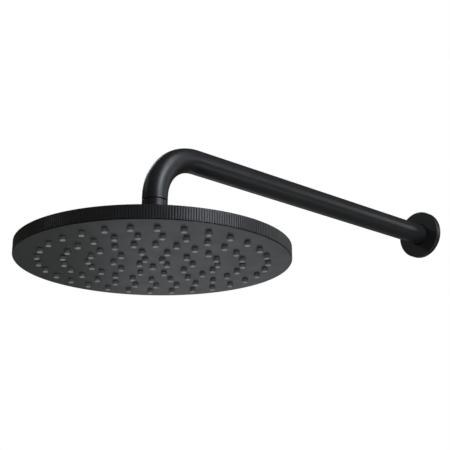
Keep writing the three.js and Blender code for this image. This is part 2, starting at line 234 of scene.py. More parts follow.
def silicone_with_painted_tip_highlight():
    material = bpy.data.materials.new("nozzle_silicone_painted_tips")
    material.use_nodes = True
    graph = Graph(material.node_tree)
    material.node_tree.nodes.clear()
    where = graph.add("ShaderNodeTexCoord")["Object"]
    z = graph.add("ShaderNodeSeparateXYZ", sockets={"Vector": where})["Z"]
    tip = FACE_Z - NOZZLE_DROP * MM
    # Painted highlight: this mask picks out the last 0.3 to 0.75 mm of each nozzle, which is coloured light
    # grey to stand in for the light that falls on the tips from below.
    tip_highlight_mask = graph.add("ShaderNodeMapRange", {"interpolation_type": "SMOOTHSTEP"},
                         {"Value": z, "From Min": tip + 0.75 * MM, "From Max": tip + 0.3 * MM})[0]
    mottle = graph.add("ShaderNodeTexNoise", sockets={"Vector": where, "Scale": 900.0})["Fac"]
    amount = tip_highlight_mask * (0.85 + mottle * 0.3)
    # The second, lighter colour is the painted highlight on the tips, and the first is the silicone's own
    # grey.
    tint = graph.add("ShaderNodeMix", {"data_type": "RGBA"},
                     {0: amount, 6: (0.235, 0.235, 0.233, 1), 7: (0.6, 0.605, 0.615, 1)})[2]
    relief = graph.add("ShaderNodeBump", sockets={"Distance": 0.01 * MM, "Height": mottle})
    shader = graph.add("ShaderNodeBsdfPrincipled", sockets={
        "Base Color": tint,
        "Roughness": 0.5 + mottle * 0.1,
        "Normal": relief["Normal"],
    })
    graph.add("ShaderNodeOutputMaterial", sockets={"Surface": shader["BSDF"]})
    return material


SILICONE = silicone_with_painted_tip_highlight()

# %% [markdown]
# ## Turned pieces
#
# Most of a shower is turned on a lathe, so most pieces here are a profile spun about an axis. The
# profile is a closed loop of (radius, height) corners. Real turned parts have no knife edges: a small
# round at each corner is what catches the light and makes a thin disc look like metal. `eased` puts
# those rounds in the profile before it is spun, which is cheaper and cleaner than a Bevel modifier
# over hundreds of edges. A run of corners that other points carry on from is eased as an open one,
# which keeps its two ends where they are.

# %% Profiles
NEARLY_STRAIGHT = math.radians(150)


def eased(corners, radius, steps=4, closed=True):
    """The profile with each sharp corner turned into a small curve."""
    points = []
    for i, corner in enumerate(corners):
        here = Vector(corner)
        back = Vector(corners[i - 1]) - here
        ahead = Vector(corners[(i + 1) % len(corners)]) - here
        at_end = not closed and i in (0, len(corners) - 1)
        if at_end or here.x < 1e-6 or back.angle(ahead) > NEARLY_STRAIGHT:
            points.append(here)
            continue
        reach = min(radius, 0.45 * back.length, 0.45 * ahead.length)
        start = here + back.normalized() * reach
        end = here + ahead.normalized() * reach
        for k in range(steps + 1):
            t = k / steps
            points.append(start.lerp(here, t).lerp(here.lerp(end, t), t))
    return points


def arc(centre_height, size, start, end, steps):
    """Points on a circle about the axis, from one angle above level to another."""
    angles = [math.radians(start + (end - start) * k / steps) for k in range(steps + 1)]
    return [(size * math.cos(a), centre_height + size * math.sin(a)) for a in angles]


# %% Spinning a profile
def spun(name, profile, sides=96, closed=True):
    """A mesh in millimetres, turned about Z. An open profile leaves its two ends open."""
    shape = bmesh.new()
    rows = []
    for radius, height in profile:
        turn = range(sides) if radius > 1e-6 else range(1)
        angles = [2 * math.pi * k / sides for k in turn]
        rows.append([shape.verts.new((radius * math.cos(a), radius * math.sin(a), height)) for a in angles])
    pairs = list(zip(rows, rows[1:] + rows[:1]))
    for low, high in pairs if closed else pairs[:-1]:
        for k in range(sides if len(low) + len(high) > 2 else 0):
            along_low = (low[k % len(low)], low[(k + 1) % len(low)])
            along_high = (high[(k + 1) % len(high)], high[k % len(high)])
            shape.faces.new(dict.fromkeys(along_low + along_high))
    if closed:
        bmesh.ops.recalc_face_normals(shape, faces=shape.faces)
    mesh = bpy.data.meshes.new(name)
    shape.to_mesh(mesh)
    shape.free()
    return mesh


# %% [markdown]
# Every piece is put into the scene in the same way. Its mesh is carried to its place, so that its
# object can stay at the origin. Smooth shading would bend the light across the flat faces too, so
# edges over 35 degrees stay sharp, and a Weighted Normal modifier lets the large flat faces decide
# the normals along the small rounds. The modifier is applied, and what is left is a plain mesh.

# %% Putting a piece in the scene
SHARP = math.radians(35)


def into_scene(name, mesh, place, material, body, nodes):
    mesh.transform(place)
    mesh.shade_smooth()
    mesh.set_sharp_from_angle(angle=SHARP)
    mesh.materials.clear()
    mesh.materials.append(material)
    holder = bpy.data.objects.new(name + "_draft", mesh)
    bpy.context.scene.collection.objects.link(holder)
    normals = holder.modifiers.new("flat faces decide", "WEIGHTED_NORMAL")
    normals.keep_sharp = True
    bpy.context.view_layer.update()
    done = bpy.data.meshes.new_from_object(holder.evaluated_get(bpy.context.evaluated_depsgraph_get()))
    bpy.data.objects.remove(holder)
    done.name = name
    piece = bpy.data.objects.new(name, done)
    bpy.context.scene.collection.objects.link(piece)
    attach(piece, body)
    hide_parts(*nodes)
    done.calc_loop_triangles()
    print(f"{name}: {len(done.loop_triangles)} triangles")
    return piece


# %% [markdown]
# ## Recipes in Geometry Nodes
#
# What repeats is made by Geometry Nodes: three hundred flutes, ninety holes, ninety nozzles, a dozen
# screws. Each tree has named inputs for its sizes, and ends in Realize Instances and Set Material.
# `grown` hangs a tree on a base mesh, fills in the inputs by their identifiers, and takes the result
# out as a plain mesh.

# %% Starting and ending a tree
def recipe(name, inputs):
    """A new geometry tree. inputs maps each input's name to its socket type."""
    tree = bpy.data.node_groups.new(name, "GeometryNodeTree")
    tree.interface.new_socket("Geometry", in_out="INPUT", socket_type="NodeSocketGeometry")
    for label, kind in {**inputs, "Material": "Material"}.items():
        tree.interface.new_socket(label, in_out="INPUT", socket_type=f"NodeSocket{kind}")
    tree.interface.new_socket("Geometry", in_out="OUTPUT", socket_type="NodeSocketGeometry")
    graph = Graph(tree)
    return graph, graph.add("NodeGroupInput")


def serve(graph, given, geometry, weld=0.004):
    """Realizes, welds what touches, sets the material and ends the tree."""
    real = graph.add("GeometryNodeRealizeInstances", sockets={"Geometry": geometry})[0]
    whole = graph.add("GeometryNodeMergeByDistance", sockets={"Geometry": real, "Distance": weld})[0]
    dressed = graph.add("GeometryNodeSetMaterial", sockets={
        "Geometry": whole, "Material": given["Material"]})[0]
    graph.add("NodeGroupOutput", sockets={0: dressed})
    return graph.tree


def grown(name, base, tree, material, **inputs):
    """The mesh that a tree makes from a base mesh or curve."""
    holder = bpy.data.objects.new(name, base)
    bpy.context.scene.collection.objects.link(holder)
    modifier = holder.modifiers.new("recipe", "NODES")
    modifier.node_group = tree
    wanted = {key.replace("_", " "): value for key, value in {**inputs, "Material": material}.items()}
    for socket in tree.interface.items_tree:
        if socket.in_out == "INPUT" and socket.name in wanted:
            modifier[socket.identifier] = wanted.pop(socket.name)
    assert not wanted, wanted
    bpy.context.view_layer.update()
    result = holder.evaluated_get(bpy.context.evaluated_depsgraph_get())
    mesh = bpy.data.meshes.new_from_object(result)
    bpy.data.objects.remove(holder)
    return mesh


# %% [markdown]
# ## The arm
#
# The arm is one tube bent round a former: straight, a quarter turn, and a short drop. Spin or a
# row of rings would do, but a tube that follows a path is what Curve to Mesh is for. The path has
# only three corners, and Fillet Curve rounds the middle one to the bend's radius, so the drawing
# stays three points and one number. The tree makes the outer skin. Solidify then gives it its wall,
# and a small Bevel breaks the two cut ends.

# %% The arm's tree
def sweep_recipe():
    graph, given = recipe("bent tube", {
        "Bend radius": "Float", "Tube radius": "Float", "Bend steps": "Int", "Sides": "Int"})
    path = graph.add("GeometryNodeFilletCurve", {"mode": "POLY"}, {
        "Curve": given["Geometry"], "Count": given["Bend steps"], "Radius": given["Bend radius"],
        "Limit Radius": True})[0]
    section = graph.add("GeometryNodeCurvePrimitiveCircle", {"mode": "RADIUS"},
                        {"Resolution": given["Sides"], "Radius": given["Tube radius"]})[0]
    skin = graph.add("GeometryNodeCurveToMesh", sockets={"Curve": path, "Profile Curve": section})[0]
    return serve(graph, given, skin)


def polyline(name, corners):
    curve = bpy.data.curves.new(name, "CURVE")
    curve.dimensions = "3D"
    spline = curve.splines.new("POLY")
    spline.points.add(len(corners) - 1)
    for spot, corner in zip(spline.points, corners):
        spot.co = (*corner, 1)
    return curve


# %% Sweep the arm
TUBE_WALL = 1.5
TUBE_START = -tube_high.y / MM
BEND_RADIUS = 47.5
arm_path = polyline("arm_path", [
    (0, -TUBE_START, 0), (0, -ARM_REACH, 0), (0, -ARM_REACH, TUBE_END - ARM_HEIGHT)])
skin = grown("arm_skin", arm_path, sweep_recipe(), BLACK,
             Bend_radius=BEND_RADIUS, Tube_radius=TUBE_R, Bend_steps=40, Sides=96)


def walled(mesh, wall, edge):
    """The skin with a wall behind it and its ends' edges broken."""
    holder = bpy.data.objects.new("walled", mesh)
    bpy.context.scene.collection.objects.link(holder)
    shell = holder.modifiers.new("wall", "SOLIDIFY")
    shell.thickness = wall
    shell.offset = -1
    bevel = holder.modifiers.new("edges", "BEVEL")
    bevel.width = edge
    bevel.segments = 3
    bevel.limit_method = "ANGLE"
    bevel.angle_limit = math.radians(60)
    bpy.context.view_layer.update()
    result = bpy.data.meshes.new_from_object(holder.evaluated_get(bpy.context.evaluated_depsgraph_get()))
    bpy.data.objects.remove(holder)
    return result


def facing_out(mesh):
    """The mesh with its faces pointing away from its inside."""
    shape = bmesh.new()
    shape.from_mesh(mesh)
    bmesh.ops.recalc_face_normals(shape, faces=shape.faces)
    shape.to_mesh(mesh)
    shape.free()
    return mesh


into_scene("bent_arm", walled(facing_out(skin), TUBE_WALL, 0.25), Matrix.Scale(MM, 4), BLACK,
           "arm", ["arm_tube"])
print(f"the arm turns down over a radius of {BEND_RADIUS} mm")

# %% [markdown]
# ## Threads
#
# Both ends of the arm carry a half-inch pipe thread, 14 turns to the inch. A thread is a groove that
# climbs by one pitch in one turn, so it is a rule and not a shape: at angle a and height z, the depth
# depends only on where z / pitch - a / 360 falls between two crests. The tree moves the points of a
# finely spun cylinder by that rule, and leaves alone the points that are off the thread's radius or
# past its ends, where the groove runs out.

# %% The thread's tree
THREAD_PITCH = 25.4 / 14


def thread_recipe():
    graph, given = recipe("screw thread", {
        "Pitch": "Float", "Depth": "Float", "Radius": "Float", "Low": "Float", "High": "Float"})
    here = graph.add("GeometryNodeInputPosition")[0]
    part = graph.add("ShaderNodeSeparateXYZ", sockets={"Vector": here})
    x, y, z = part["X"], part["Y"], part["Z"]
    angle = y.math("ARCTAN2", x) / (2 * math.pi)
    wave = (z / given["Pitch"] - angle).math("FRACT")
    depth = (2 * wave - 1).math("ABSOLUTE") * given["Depth"]
    radius = (x * x + y * y).math("SQRT")
    on_thread = radius.math("GREATER_THAN", given["Radius"] - 0.05)
    fade_in = ((z - given["Low"]) / given["Pitch"]).math("MAXIMUM", 0.0).math("MINIMUM", 1.0)
    fade_out = ((given["High"] - z) / given["Pitch"]).math("MAXIMUM", 0.0).math("MINIMUM", 1.0)
    share = 1 - depth * on_thread * fade_in * fade_out / radius
    flat = graph.add("ShaderNodeCombineXYZ", sockets={"X": x * share, "Y": y * share, "Z": z})[0]
    moved = graph.add("GeometryNodeSetPosition", sockets={"Geometry": given["Geometry"], "Position": flat})[0]
    return serve(graph, given, moved)


CUT_THREAD = thread_recipe()


def thread_rows(radius, low, high, step=0.16):
    """Points up a cylinder, close enough together to show a thread."""
    count = round((high - low) / step)
    return [(radius, low + (high - low) * k / count) for k in range(count + 1)]


# %% Turn and thread the two ends
THREAD_R = 10.4
THREAD_DEPTH = 1.0
WATERWAY_R = 7.0
PLUG_R = TUBE_R - TUBE_WALL - 0.05
inlet_low, inlet_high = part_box("arm_inlet_nipple")
INLET_TIP = inlet_high.y / MM
INLET_ROOT = inlet_low.y / MM
inlet_profile = [
    (WATERWAY_R, INLET_ROOT), (PLUG_R, INLET_ROOT), (PLUG_R, -1.7), (TUBE_R - 0.2, -1.7),
    (TUBE_R, -1.5), (TUBE_R, -0.2), (TUBE_R - 0.2, 0.0), (THREAD_R, 0.0),
    *thread_rows(THREAD_R, 0.1, INLET_TIP - 0.8), (THREAD_R - 0.9, INLET_TIP), (WATERWAY_R, INLET_TIP)]
inlet = grown("inlet", spun("inlet_blank", inlet_profile), CUT_THREAD, BRASS,
              Pitch=THREAD_PITCH, Depth=THREAD_DEPTH, Radius=THREAD_R, Low=0.6, High=INLET_TIP)
into_scene("inlet_thread", inlet, WALL_PLACE, BRASS, "arm", ["arm_inlet_nipple"])

outlet_low, outlet_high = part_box("arm_outlet_nipple")
OUTLET_TIP, OUTLET_TOP = above_face(outlet_low.z), above_face(outlet_high.z)
outlet_profile = [
    (WATERWAY_R, OUTLET_TIP), (THREAD_R - 0.9, OUTLET_TIP),
    *thread_rows(THREAD_R, OUTLET_TIP + 0.8, TUBE_END - 1.9),
    (THREAD_R - 1, TUBE_END - 0.9), (THREAD_R - 1, TUBE_END - 0.1),
    (PLUG_R, TUBE_END + 0.1), (PLUG_R, OUTLET_TOP), (WATERWAY_R, OUTLET_TOP)]
outlet = grown("outlet", spun("outlet_blank", outlet_profile), CUT_THREAD, BRASS,
               Pitch=THREAD_PITCH, Depth=THREAD_DEPTH, Radius=THREAD_R, Low=OUTLET_TIP, High=TUBE_END - 1.5)


def in_the_joint(graph, where):
    """The coating is sprayed on after brazing, so it reaches into the slot under the tube's end."""
    z = graph.add("ShaderNodeSeparateXYZ", sockets={"Vector": where})["Z"]
    slot_low = FACE_Z + (TUBE_END - 2) * MM
    return graph.add("ShaderNodeMapRange", {"interpolation_type": "SMOOTHSTEP"},
                     {"Value": z, "From Min": slot_low, "From Max": slot_low + 0.5 * MM})[0]


HALF_COATED = finish("brass_with_overspray", BRASS_TONE, 0.3, metallic=1.0, grain=0.3, bump=0.01,
                     marks=turning_marks, coat=in_the_joint)
into_scene("outlet_thread", outlet, HEAD_PLACE, HALF_COATED, "arm", ["arm_outlet_nipple"])

# %% [markdown]
# ## The cover flange
#
# The flange is a pressed cup with a flat front. It hides the hole in the tiles, and an O-ring in its
# hub grips the tube, so that it stays against the wall. It is turned from a profile that goes round
# the front, over the rim, and back inside past the hub and its groove.

# %% Turn the flange and its O-ring
FLANGE_R = spans("wall_flange").x / 2
FLANGE_DEPTH = spans("wall_flange").y
FLANGE_BORE = TUBE_R + 0.3
FLANGE_RIM = 2.5
FLANGE_FRONT = 1.8
FLANGE_HUB_R = 16.5
GROOVE_R = 14.2
flange_profile = eased([
    (FLANGE_BORE, -FLANGE_DEPTH), (FLANGE_R, -FLANGE_DEPTH), (FLANGE_R, 0), (FLANGE_R - FLANGE_RIM, 0),
    (FLANGE_R - FLANGE_RIM, -FLANGE_DEPTH + FLANGE_FRONT), (FLANGE_HUB_R, -FLANGE_DEPTH + FLANGE_FRONT),
    (FLANGE_HUB_R, -1), (FLANGE_BORE, -1), (FLANGE_BORE, -2.6), (GROOVE_R, -2.6), (GROOVE_R, -5),
    (FLANGE_BORE, -5)], 0.7)
into_scene("cover_flange", spun("cover_flange", flange_profile, 160), WALL_PLACE, BLACK,
           "flange", ["wall_flange"])

ring_low, ring_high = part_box("flange_o_ring")
ring_section = (GROOVE_R - 0.1 - TUBE_R) / 2
ring_middle = TUBE_R + ring_section
ring_place = (ring_low.y + ring_high.y) / 2 / MM
ring_profile = [
    (ring_middle + ring_section * math.cos(a), ring_place + ring_section * math.sin(a))
    for a in (2 * math.pi * k / 16 for k in range(16))]
into_scene("grip_ring", spun("grip_ring", ring_profile), WALL_PLACE, RUBBER,
           "flange_ring", ["flange_o_ring"])

# %% [markdown]
# ## The ball joint
#
# Under the elbow a collar screws onto the arm. Below it the same piece narrows to a neck and ends in
# a ball, with the water running down its middle. The nut screws down over the ball and presses it
# into the seats. The collar is the part that shows: it has the tube's own diameter, and a groove that
# is under a millimetre wide parts the two.

# %% Turn the stem
BALL_R = 11.0
BALL_Z = 24.0
COLLAR_TOP = above_face(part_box("ball_stem")[1].z)
COLLAR_BORE = 10.7
NECK_R = 5.5
STEM_BORE = 3.5


def rise_to(radius, ball):
    """The angle above level at which a ball is only this far from the axis."""
    return math.degrees(math.acos(radius / ball))


# The list is eased as if it closed on itself. Three points at or near the closing line are left out,
# and the bore then ends on a sharp corner.
above_ball = eased([
    (NECK_R + 0.1, 33.9), (NECK_R, 34.6), (NECK_R, 37), (TUBE_R, 41), (TUBE_R, COLLAR_TOP),
    (COLLAR_BORE, COLLAR_TOP), (COLLAR_BORE, 44.3), (6.5, 44.3), (6.5, 39.3), (STEM_BORE, 39.3)], 0.4)[2:-1]
stem_profile = [
    *arc(BALL_Z, BALL_R, -rise_to(STEM_BORE, BALL_R), rise_to(NECK_R + 0.4, BALL_R), 40),
    *above_ball, (STEM_BORE, 39.3)]
into_scene("ball_and_collar", spun("ball_and_collar", stem_profile, 128), HEAD_PLACE, BLACK,
           "arm", ["ball_stem"])

# %% [markdown]
# ## Flutes
#
# The rim of the head is reeded: about 350 upright flutes, a little over two millimetres apart. One
# flute is one slice of the whole shell, from the hole in its middle round the rim to the inside of
# the skirt. The slice's outer wall is a nearly flat land that falls away into a narrow groove at each
# side, and its other walls are plain. A high power of the distance across the slice draws just that.
# Instances then carry one slice each to their place in the turn, and welding closes the shell.
# Modelling the whole slice and not only the land keeps the shell one closed body.

# %% One slice
LAND_POWER = 9


def row(radius, height, depth=0.0, columns=4):
    """A line across a slice: how deep its grooves go, and into how many columns it is divided."""
    return radius, height, depth, columns


def slice_of(name, rows, count):
    """One slice of a turned piece, count of which make the whole."""
    half = math.pi / count
    shape = bmesh.new()
    lines = []
    for radius, height, depth, columns in rows:
        shares = [2 * k / columns - 1 for k in range(columns + 1)]
        reach = [(radius - depth * abs(share) ** LAND_POWER, half * share) for share in shares]
        lines.append([shape.verts.new((r * math.cos(a), r * math.sin(a), height)) for r, a in reach])
    for low, high in zip(lines, lines[1:] + lines[:1]):
        if len(low) == len(high):
            for k in range(len(low) - 1):
                shape.faces.new((low[k], low[k + 1], high[k + 1], high[k]))
        else:
            shape.faces.new(low + high[::-1])
    mesh = bpy.data.meshes.new(name)
    shape.to_mesh(mesh)
    shape.free()
    return mesh


# %% The tree that turns one slice into many
def slices_recipe():
    graph, given = recipe("slices round an axis", {"Count": "Int"})
    spots = graph.add("GeometryNodePoints", sockets={"Count": given["Count"]})[0]
    number = graph.add("GeometryNodeInputIndex")[0]
    angle = number * (2 * math.pi) / given["Count"]
    turn = graph.add("ShaderNodeCombineXYZ", sockets={"Z": angle})[0]
    copies = graph.add("GeometryNodeInstanceOnPoints", sockets={
        "Points": spots, "Instance": given["Geometry"], "Rotation": turn})[0]
    return serve(graph, given, copies)


ALL_ROUND = slices_recipe()

# %% Build the back shell
FLUTES = 350
FLUTE_DEPTH = 0.6
HUB_BORE = 16.3
SHELL_WALL = 2.1
SKIRT_WALL = 2.4
SKIRT_LOW = 0.75  # the skirt ends this far above the face, and the gap shows as a thin line
TOP = HEAD_THICKNESS
UNDER = TOP - SHELL_WALL
EDGE = 0.35


def fluted(height, inset=0.0):
    return row(HEAD_R - inset, height, FLUTE_DEPTH, 8)


def plain(radius, height):
    return row(radius, height, columns=1)


shell_rows = [
    plain(HEAD_R - SKIRT_WALL, SKIRT_LOW), plain(HEAD_R - 1.0, SKIRT_LOW),
    fluted(SKIRT_LOW, 0.2), fluted(SKIRT_LOW + 0.06, 0.06), fluted(SKIRT_LOW + 0.2),
    fluted(TOP - EDGE), fluted(TOP - 0.35 * EDGE, 0.12 * EDGE), fluted(TOP - 0.1 * EDGE, 0.4 * EDGE),
    fluted(TOP, EDGE), plain(HEAD_R - 1.4, TOP), plain(HEAD_R - 30, TOP), plain(HEAD_R - 70, TOP),
    plain(HUB_BORE + 2, TOP), plain(HUB_BORE, TOP), plain(HUB_BORE, UNDER), plain(HEAD_R - 70, UNDER),
    plain(HEAD_R - SKIRT_WALL - 0.4, UNDER), plain(HEAD_R - SKIRT_WALL, UNDER - 0.4)]
shell = grown("shell", slice_of("flute", shell_rows, FLUTES), ALL_ROUND, BLACK, Count=FLUTES)
into_scene("fluted_shell", facing_out(shell), HEAD_PLACE, BLACK, "head", ["back_shell"])

# %% [markdown]
# The nut and the lock ring are gripped by hand and by a strap, so they have flutes too, made by the
# same tree from slices of their own.

# %% Build the nut and the lock ring
nut_low, nut_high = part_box("ball_retaining_nut")
NUT_R = spans("ball_retaining_nut").x / 2
NUT_LOW, NUT_TOP = above_face(nut_low.z), above_face(nut_high.z)
SEAT_R = 13.1
NUT_OPENING = 10.0
NUT_FLUTES = 48
NUT_FLUTE_DEPTH = 0.45
GRIP_TOP = NUT_LOW + 10.2
grip = [
    row(NUT_R - 0.3, NUT_LOW), row(NUT_R, NUT_LOW + 0.3), row(NUT_R, NUT_LOW + 1.0, NUT_FLUTE_DEPTH),
    row(NUT_R, NUT_LOW + 9.5, NUT_FLUTE_DEPTH), row(NUT_R, GRIP_TOP)]
crown = eased([(NUT_R, NUT_LOW + 8), (NUT_R, NUT_TOP - 6), (NUT_R - 5, NUT_TOP), (NUT_OPENING, NUT_TOP),
               (NUT_OPENING, NUT_TOP - 1.6)], 1.2)[:-1]
# The crown is eased in the same way, and only its points above the grip are wanted.
above_grip = [spot for spot in crown if spot[1] > GRIP_TOP + 0.1]
inside = arc(BALL_Z, SEAT_R, rise_to(NUT_OPENING, SEAT_R), 5.3, 8)
nut_rows = [
    row(HUB_BORE, NUT_LOW), *grip, *(row(*spot) for spot in above_grip + inside), row(HUB_BORE, BALL_Z + 1.2)]
nut = grown("nut", slice_of("nut_flute", nut_rows, NUT_FLUTES), ALL_ROUND, BLACK, Count=NUT_FLUTES)
into_scene("ball_nut", facing_out(nut), HEAD_PLACE, BLACK, "head", ["ball_retaining_nut"])

lock_low, lock_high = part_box("hub_lock_ring")
LOCK_R = spans("hub_lock_ring").x / 2
LOCK_LOW, LOCK_TOP = above_face(lock_low.z), above_face(lock_high.z)
LOCK_FLUTES = 60
LOCK_FLUTE_DEPTH = 0.5
lock_wall = [
    (0.3, LOCK_LOW), (0, LOCK_LOW + 0.3), (0, LOCK_TOP - 0.4), (0.12, LOCK_TOP - 0.12), (0.4, LOCK_TOP)]
lock_rows = [
    row(HUB_BORE, LOCK_LOW), row(LOCK_R - 1.2, LOCK_LOW),
    *(row(LOCK_R - inset, height, LOCK_FLUTE_DEPTH) for inset, height in lock_wall),
    row(LOCK_R - 1.4, LOCK_TOP), row(HUB_BORE, LOCK_TOP)]
lock = grown("lock", slice_of("lock_flute", lock_rows, LOCK_FLUTES), ALL_ROUND, BLACK, Count=LOCK_FLUTES)
into_scene("lock_ring", facing_out(lock), HEAD_PLACE, BLACK, "head", ["hub_lock_ring"])

# %% [markdown]
# ## The ninety places
#
# The holes in the face plate and the nozzles that come through them share one pattern: five rings,
# evenly stepped, with 5, 10, 20, 25 and 30 places. It is one node group that both trees use, so a
# nozzle can't miss its hole. Each ring is a Mesh Circle with as many corners as places.

# %% The pattern as a node group
RINGS = ((5, 0), (10, 18), (20, 0), (25, 10.8), (30, 0))  # places, and the first one's turn from +X
FIRST_RING = 13.0
RING_PITCH = 22.6


def pattern_group():
    tree = bpy.data.node_groups.new("nozzle places", "GeometryNodeTree")
    for label in ("First ring", "Ring pitch"):
        tree.interface.new_socket(label, in_out="INPUT", socket_type="NodeSocketFloat")
    tree.interface.new_socket("Places", in_out="OUTPUT", socket_type="NodeSocketGeometry")
    graph = Graph(tree)
    given = graph.add("NodeGroupInput")
    rings = []
    for i, (count, turn) in enumerate(RINGS):
        radius = given["First ring"] + given["Ring pitch"] * float(i)
        circle = graph.add("GeometryNodeMeshCircle", sockets={"Vertices": count, "Radius": radius})[0]
        rings.append(graph.add("GeometryNodeTransform", sockets={
            "Geometry": circle, "Rotation": (0, 0, math.radians(turn))})[0])
    places = graph.add("GeometryNodeJoinGeometry", sockets={0: rings})[0]
    graph.add("NodeGroupOutput", sockets={0: places})
    return tree


PATTERN = pattern_group()


def nozzle_places(graph):
    sockets = {"First ring": FIRST_RING, "Ring pitch": RING_PITCH}
    return graph.add("GeometryNodeGroup", {"node_tree": PATTERN}, sockets)["Places"]


# %% [markdown]
# ## Sheets with holes
#
# A sheet with round holes could be cut by ninety Booleans. Fill Curve is quicker and cleaner: it
# fills an outline and leaves out every closed curve inside it. Here it makes the lower and the upper
# skin of a sheet, a wall is carried to each place, and a spun edge closes the outside. All meet at
# the same points, so welding makes one closed sheet.

# %% The sheet's tree
def sheet_recipe():
    graph, given = recipe("pierced sheet", {
        "Wall": "Object", "Radius": "Float", "Sides": "Int", "Low": "Float", "High": "Float",
        "Low hole": "Float", "High hole": "Float", "Hole sides": "Int"})
    places = nozzle_places(graph)
    outline = graph.add("GeometryNodeCurvePrimitiveCircle", sockets={
        "Resolution": given["Sides"], "Radius": given["Radius"]})[0]
    skins = []
    for height, hole in (("Low", "Low hole"), ("High", "High hole")):
        circle = graph.add("GeometryNodeCurvePrimitiveCircle", sockets={
            "Resolution": given["Hole sides"], "Radius": given[hole]})[0]
        circles = graph.add("GeometryNodeInstanceOnPoints", sockets={"Points": places, "Instance": circle})[0]
        curves = graph.add("GeometryNodeRealizeInstances", sockets={
            "Geometry": graph.add("GeometryNodeJoinGeometry", sockets={0: [outline, circles]})[0]})[0]
        filled = graph.add("GeometryNodeFillCurve", {"mode": "TRIANGLES"}, {"Curve": curves})[0]
        lift = graph.add("ShaderNodeCombineXYZ", sockets={"Z": given[height]})[0]
        skins.append(graph.add("GeometryNodeTransform", sockets={"Geometry": filled, "Translation": lift})[0])
    wall = graph.add("GeometryNodeObjectInfo", sockets={"Object": given["Wall"]})["Geometry"]
    walls = graph.add("GeometryNodeInstanceOnPoints", sockets={"Points": places, "Instance": wall})[0]
    whole = graph.add("GeometryNodeJoinGeometry", sockets={0: [*skins, walls, given["Geometry"]]})[0]
    return serve(graph, given, whole)


PIERCED = sheet_recipe()


def pierced(name, edge, wall, material, **sizes):
    """A sheet from its spun edge and one hole's wall, both open surfaces."""
    part = bpy.data.objects.new(name + "_wall", wall)
    mesh = grown(name, edge, PIERCED, material, Wall=part, **sizes)
    bpy.data.objects.remove(part)
    return facing_out(mesh)


# %% [markdown]
# ### The face plate
#
# The plate is a flat sheet that the head wears underneath. Its edge runs out under the shell's skirt
# and leaves a thin dark line between the two, and a raised ring behind it keeps it centred in the
# skirt. Each hole has a small chamfer, which is what makes the holes crisp against the flat black.

# %% Build the face plate
FACE_R = spans("face_plate").x / 2
FACE_THICKNESS = 1.8
FACE_INNER = HEAD_R - 6.0
SIDES = 240
HOLE_SIDES = 24
HOLE_R = 3.15
CHAMFER = 0.12
FACE_EDGE = 0.5
LOCATOR_R = HEAD_R - 2.7
LOCATOR_TOP = 4.5
LOCATOR_WALL = 1.5
face_edge = eased([
    (FACE_INNER, 0), (FACE_R, 0), (FACE_R, FACE_EDGE), (LOCATOR_R, FACE_EDGE), (LOCATOR_R, LOCATOR_TOP),
    (LOCATOR_R - LOCATOR_WALL, LOCATOR_TOP), (LOCATOR_R - LOCATOR_WALL, FACE_THICKNESS),
    (FACE_INNER, FACE_THICKNESS)], 0.18, closed=False)
hole_wall = [
    (HOLE_R + CHAMFER, 0), (HOLE_R + CHAMFER / 3, CHAMFER / 3), (HOLE_R, CHAMFER), (HOLE_R, FACE_THICKNESS)]
face = pierced("face", spun("face_edge", face_edge, SIDES, closed=False),
               spun("hole_wall", hole_wall, HOLE_SIDES, closed=False), BLACK, Radius=FACE_INNER, Sides=SIDES,
               Low=0.0, High=FACE_THICKNESS, Low_hole=HOLE_R + CHAMFER, High_hole=HOLE_R,
               Hole_sides=HOLE_SIDES)
into_scene("pierced_face", face, HEAD_PLACE, BLACK, "head", ["face_plate"])

# %% [markdown]
# ### The nozzles
#
# Behind the plate lies one silicone mat, moulded with a nozzle for every hole, so that a finger can
# rub the lime out of them. A nozzle is a hollow cone with a rounded end and a water hole just over a
# millimetre wide. It is spun as one open wall, from the mat's lower skin down to the tip and up
# inside to the upper skin, and the tree carries it to the ninety places.

# %% Build the mat
MAT_R = spans("nozzle_mat").x / 2
MAT_HIGH = above_face(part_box("nozzle_mat")[1].z)
MAT_LOW = MAT_HIGH - 1.2
NOZZLE_ROOT = 2.8
NOZZLE_TIP = 2.45
TIP_ROUND = 0.42
WATER_HOLE = 0.6
FUNNEL = 1.6
TIP_Z = -NOZZLE_DROP
tip_round = [
    (NOZZLE_TIP - 0.4 + TIP_ROUND * math.cos(a), TIP_Z + TIP_ROUND - TIP_ROUND * math.sin(a))
    for a in map(math.radians, range(10, 91, 20))]
nozzle_wall = [
    (NOZZLE_ROOT, MAT_LOW), (NOZZLE_ROOT, 0.2), (NOZZLE_TIP + 0.1, TIP_Z + 0.7), *tip_round,
    (1.5, TIP_Z), (1.05, TIP_Z + 0.12), (WATER_HOLE + 0.1, TIP_Z + 0.16), (WATER_HOLE, TIP_Z + 0.4),
    (WATER_HOLE, -0.5), (FUNNEL, 1.2), (FUNNEL, MAT_HIGH)]
mat_edge = [(MAT_R, MAT_LOW), (MAT_R, MAT_HIGH)]
mat = pierced("mat", spun("mat_edge", mat_edge, 96, closed=False),
              spun("nozzle_wall", nozzle_wall, HOLE_SIDES, closed=False), SILICONE, Radius=MAT_R, Sides=96,
              Low=MAT_LOW, High=MAT_HIGH, Low_hole=NOZZLE_ROOT, High_hole=FUNNEL, Hole_sides=HOLE_SIDES)
into_scene("nozzles", mat, HEAD_PLACE, SILICONE, "head", ["nozzle_mat"])

# %% [markdown]
# ## Inside the head
#
# The socket screws up through the shell and holds everything together. It is turned brass with a
# thread for the nut and the lock ring, and half a ball cut out of its top.

